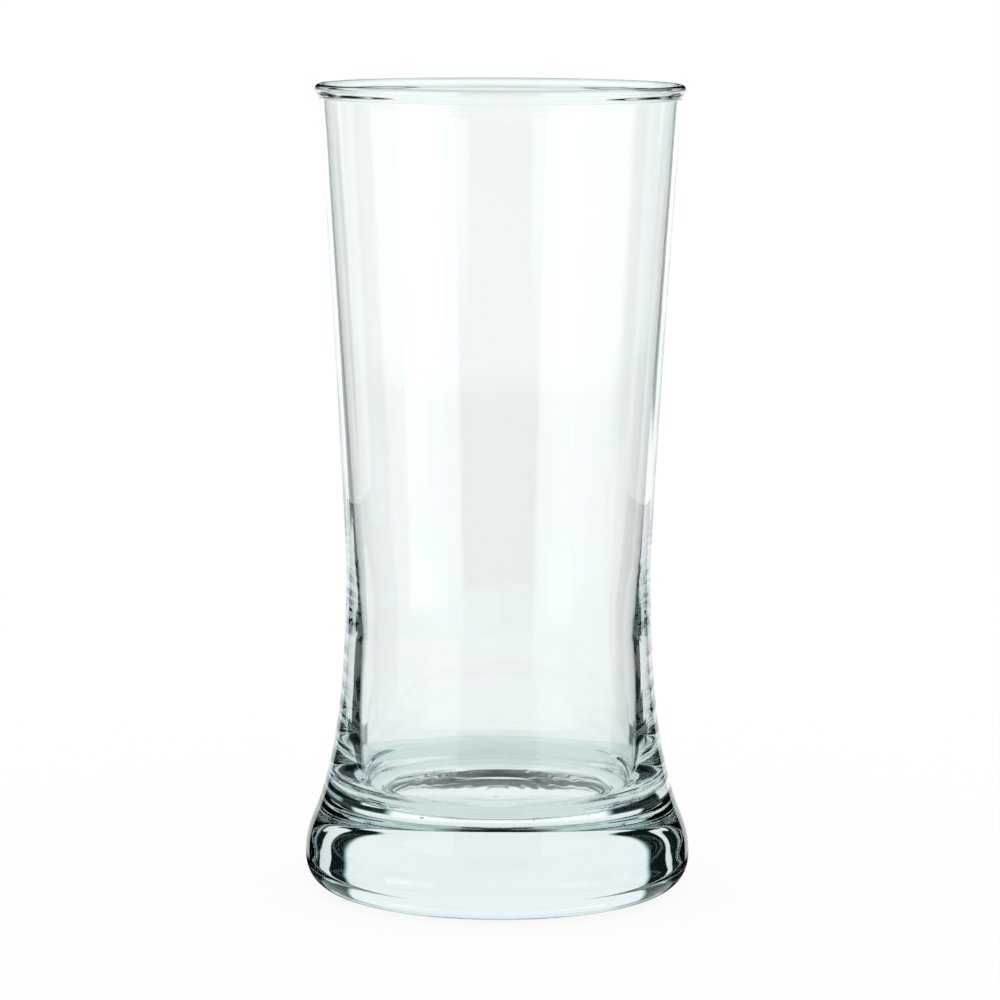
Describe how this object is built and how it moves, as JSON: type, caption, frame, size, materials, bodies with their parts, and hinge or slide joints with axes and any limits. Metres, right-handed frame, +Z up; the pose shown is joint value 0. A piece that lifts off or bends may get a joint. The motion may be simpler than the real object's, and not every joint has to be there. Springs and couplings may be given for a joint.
{
  "type": "highball glass",
  "caption": "Tall clear drinking glass with a beaded rim, flared upper wall, narrow waist and a heavy solid base that flares out to a rounded heel.",
  "frame": {"origin": "on the axis, in the plane of the bearing ring that the glass stands on", "axes": "+Z up along the axis of the body, from the base to the rim; the body is round, so +X and +Y are free"},
  "size_m": [0.0718, 0.0718, 0.15],
  "materials": {
    "clear_glass": "fire-polished clear soda-lime glass, faintly green where the base is thick"
  },
  "bodies": {
    "root": {"glass_body": "clear_glass"}
  },
  "joints": []
}
